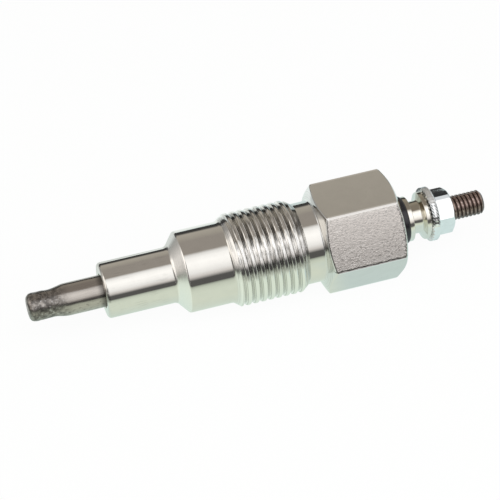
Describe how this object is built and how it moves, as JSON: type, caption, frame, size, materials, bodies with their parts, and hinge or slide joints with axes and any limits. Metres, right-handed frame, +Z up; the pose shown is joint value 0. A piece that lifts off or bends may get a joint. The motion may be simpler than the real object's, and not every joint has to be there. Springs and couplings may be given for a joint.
{
  "type": "diesel glow plug",
  "caption": "Sheathed diesel glow plug with a swaged heating rod, conical seat, threaded nickel-plated body, hexagon, insulated stud terminal and serrated flange nut.",
  "frame": {"origin": "On the plug's axis, at the small end of the sealing cone.", "axes": "+X runs along the axis from the heated tip to the terminal stud; +Z is up, square to the flat of the hexagon that the plug lies on; +Y completes a right-handed set."},
  "size_m": [0.0893, 0.0214, 0.0186],
  "materials": {
    "nickel_plate": "bright nickel plate over turned steel, satin grain on the hexagon's flats",
    "sheath_alloy": "satin heat-resistant alloy, dull and heat-tinted at the swaged tip",
    "resistance_wire": "drawn resistance wire",
    "magnesia": "compacted white powder",
    "electrode_steel": "brown-tinted steel with worn thread crests",
    "seal_rubber": "matte black",
    "bush_plastic": "semi-gloss black moulding",
    "collar_nickel": "bright, slightly yellow nickel plate",
    "zinc_plate": "bright bluish zinc plate"
  },
  "bodies": {
    "root": {"body_shell": "nickel_plate", "sheath_tube": "sheath_alloy", "heating_coil": "resistance_wire", "magnesia_fill": "magnesia", "centre_electrode": "electrode_steel", "sheath_seal": "seal_rubber", "ring_seal": "seal_rubber", "insulating_bush": "bush_plastic", "terminal_collar": "collar_nickel", "flange_nut": "zinc_plate"}
  },
  "joints": []
}
